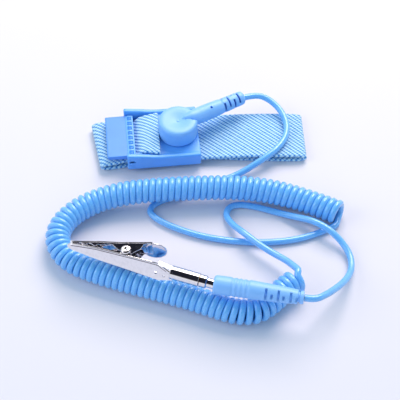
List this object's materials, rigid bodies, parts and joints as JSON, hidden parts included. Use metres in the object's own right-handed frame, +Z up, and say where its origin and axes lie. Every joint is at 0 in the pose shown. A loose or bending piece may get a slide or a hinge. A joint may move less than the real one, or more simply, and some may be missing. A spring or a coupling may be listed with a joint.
{
  "type": "esd wrist strap",
  "caption": "Elastic wrist band with a cam buckle and snap head, joined by a curly cord to a banana plug and an alligator clip.",
  "frame": {"origin": "on the table, under the axis of the snap stud on the buckle", "axes": "+X along the band from the lever to the plain fold, +Y away from the side where the curly cord lies, +Z up"},
  "size_m": [0.1137, 0.1048, 0.0179],
  "materials": {
    "woven_band": "woven elastic, diagonal twill ribs",
    "buckle_plastic": "satin moulded",
    "moulded_plastic": "satin moulded, slightly soft",
    "cord_jacket": "smooth extruded jacket",
    "clip_nickel": "bright nickel plate",
    "pin_steel": "ground pin",
    "skin_steel": "brushed sheet",
    "snap_metal": "nickel plated snap",
    "spring_steel": "bright spring wire",
    "plug_brass": "turned brass",
    "solder": "solder",
    "conductor": "tinned tinsel conductor",
    "resistor_lacquer": "lacquered",
    "wire_tin": "tinned wire"
  },
  "bodies": {
    "wristband": {"strap_band": "woven_band", "buckle_frame": "buckle_plastic", "lever_pin": "pin_steel", "skin_plate": "skin_steel", "snap_stud": "snap_metal", "anchor_block": "buckle_plastic"},
    "lever": {"cam_lever": "buckle_plastic"},
    "cord": {"snap_ring": "spring_steel", "snap_lead": "cord_jacket", "curly_cord": "cord_jacket", "plug_lead": "cord_jacket", "plug_sleeve": "moulded_plastic", "plug_neck": "clip_nickel", "plug_pin": "plug_brass", "plug_solder": "solder", "plug_core": "conductor"},
    "snap_head": {"snap_housing": "moulded_plastic", "snap_socket": "snap_metal", "resistor_body": "resistor_lacquer", "resistor_wire_in": "wire_tin", "resistor_wire_out": "wire_tin", "snap_crimp": "wire_tin", "snap_core": "conductor"},
    "plug_turn": {"plug_spring": "spring_steel"},
    "clip": {"clip_lower_jaw": "clip_nickel", "clip_rivet": "clip_nickel", "clip_spring": "spring_steel"},
    "upper_jaw": {"clip_upper_jaw": "clip_nickel"}
  },
  "joints": [
    {"name": "lever", "type": "hinge", "parent": "wristband", "child": "lever", "pos_m": [-0.0191, 0, 0.0065], "axis": [0, 1, 0], "range_deg": [0, 95]},
    {"name": "snap_lift", "type": "slide", "parent": "wristband", "child": "cord", "axis": [0, 0, 1], "range_m": [0, 0.008], "deforming": ["snap_ring"]},
    {"name": "snap_swivel", "type": "hinge", "parent": "cord", "child": "snap_head", "pos_m": [0, 0, 0.011], "axis": [0, 0, 1], "range_deg": [-35, 30], "deforming": ["snap_lead"]},
    {"name": "clip_turn", "type": "hinge", "parent": "cord", "child": "plug_turn", "pos_m": [0.00098, -0.0744, 0.0138], "axis": [0.91, -0.4147, 0], "range_deg": [0, 180]},
    {"name": "clip_pull", "type": "slide", "parent": "plug_turn", "child": "clip", "axis": [-0.91, 0.4147, 0], "range_m": [0, 0.012]},
    {"name": "jaw", "type": "hinge", "parent": "clip", "child": "upper_jaw", "pos_m": [-0.02407, -0.06112, 0.0138], "axis": [0, 0, -1], "range_deg": [0, 22], "stiffness_Nm_per_rad": 0.06, "springref_deg": -20.05}
  ]
}
